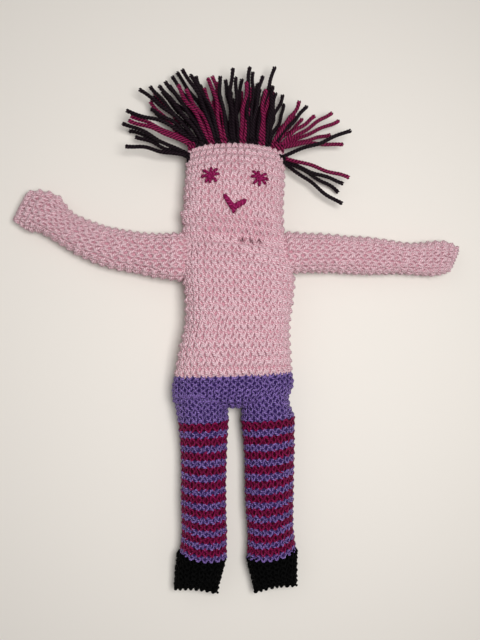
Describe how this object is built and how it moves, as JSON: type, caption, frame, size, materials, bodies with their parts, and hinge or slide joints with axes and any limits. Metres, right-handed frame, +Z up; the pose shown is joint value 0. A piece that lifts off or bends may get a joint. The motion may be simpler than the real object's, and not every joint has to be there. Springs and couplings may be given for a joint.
{
  "type": "knitted doll",
  "caption": "Soft hand-knitted doll lying on its back, with stuffed limbs that swing, a nodding head, stitched face and yarn hair.",
  "frame": {"origin": "on the surface that the doll lies on, under the middle of its back, at the flat of the torso cover", "axes": "+X to the doll's own left, +Y along the body towards the head, +Z up out of the chest"},
  "size_m": [0.3069, 0.3495, 0.0374],
  "materials": {
    "pink_knit": "matt garter-stitch acrylic knit",
    "purple_knit": "matt garter-stitch acrylic knit",
    "striped_knit": "matt garter-stitch knit in magenta and purple stripes",
    "black_knit": "matt garter-stitch acrylic knit",
    "pink_yarn": "twisted sewing yarn",
    "purple_yarn": "twisted sewing yarn",
    "magenta_yarn": "twisted acrylic yarn",
    "black_yarn": "twisted acrylic yarn",
    "stuffing": "loose polyester fibre filling"
  },
  "bodies": {
    "torso": {"torso_cover": "pink_knit", "shorts_cover": "purple_knit", "body_stuffing": "stuffing", "neck_seam": "pink_yarn", "left_hip_seam": "purple_yarn", "right_hip_seam": "purple_yarn"},
    "head": {"head_cover": "pink_knit", "head_stuffing": "stuffing", "left_eye": "magenta_yarn", "right_eye": "magenta_yarn", "mouth": "magenta_yarn", "hair_tuft_01": "black_yarn", "hair_tuft_02": "magenta_yarn", "hair_tuft_03": "black_yarn", "hair_tuft_04": "black_yarn", "hair_tuft_05": "magenta_yarn", "hair_tuft_06": "black_yarn", "hair_tuft_07": "black_yarn", "hair_tuft_08": "magenta_yarn", "hair_tuft_09": "black_yarn", "hair_tuft_10": "black_yarn", "hair_tuft_11": "magenta_yarn", "hair_tuft_12": "black_yarn", "hair_tuft_13": "magenta_yarn", "hair_tuft_14": "black_yarn", "hair_tuft_15": "magenta_yarn", "hair_tuft_16": "magenta_yarn", "hair_tuft_17": "black_yarn"},
    "left_shoulder": {"left_shoulder_seam": "pink_yarn"},
    "right_shoulder": {"right_shoulder_seam": "pink_yarn"},
    "left_arm": {"left_arm_cover": "pink_knit", "left_arm_stuffing": "stuffing", "left_hand_seam": "pink_yarn"},
    "right_arm": {"right_arm_cover": "pink_knit", "right_arm_stuffing": "stuffing", "right_hand_seam": "pink_yarn"},
    "left_leg": {"left_shorts_leg": "purple_knit", "left_leg_cover": "striped_knit", "left_foot_cover": "black_knit", "left_leg_stuffing": "stuffing", "left_toe_seam": "black_yarn"},
    "right_leg": {"right_shorts_leg": "purple_knit", "right_leg_cover": "striped_knit", "right_foot_cover": "black_knit", "right_leg_stuffing": "stuffing", "right_toe_seam": "black_yarn"}
  },
  "joints": [
    {"name": "neck_nod", "type": "hinge", "parent": "torso", "child": "head", "pos_m": [0, 0.052, 0.016], "axis": [1, 0, 0], "range_deg": [-40, 45]},
    {"name": "left_shoulder_raise", "type": "hinge", "parent": "torso", "child": "left_shoulder", "pos_m": [0.043, 0.03, 0.014], "axis": [0, 0, 1], "range_deg": [-30, 20]},
    {"name": "left_shoulder_fold", "type": "hinge", "parent": "left_shoulder", "child": "left_arm", "pos_m": [0.043, 0.03, 0.014], "axis": [0, -1, 0], "range_deg": [-30, 55]},
    {"name": "right_shoulder_raise", "type": "hinge", "parent": "torso", "child": "right_shoulder", "pos_m": [-0.043, 0.03, 0.014], "axis": [0, 0, -1], "range_deg": [-30, 20]},
    {"name": "right_shoulder_fold", "type": "hinge", "parent": "right_shoulder", "child": "right_arm", "pos_m": [-0.043, 0.03, 0.014], "axis": [0, 1, 0], "range_deg": [-30, 55]},
    {"name": "left_hip_swing", "type": "hinge", "parent": "torso", "child": "left_leg", "pos_m": [0.0215, -0.077, 0.014], "axis": [-1, 0, 0], "range_deg": [-45, 80]},
    {"name": "right_hip_swing", "type": "hinge", "parent": "torso", "child": "right_leg", "pos_m": [-0.0215, -0.077, 0.014], "axis": [-1, 0, 0], "range_deg": [-45, 80]}
  ]
}
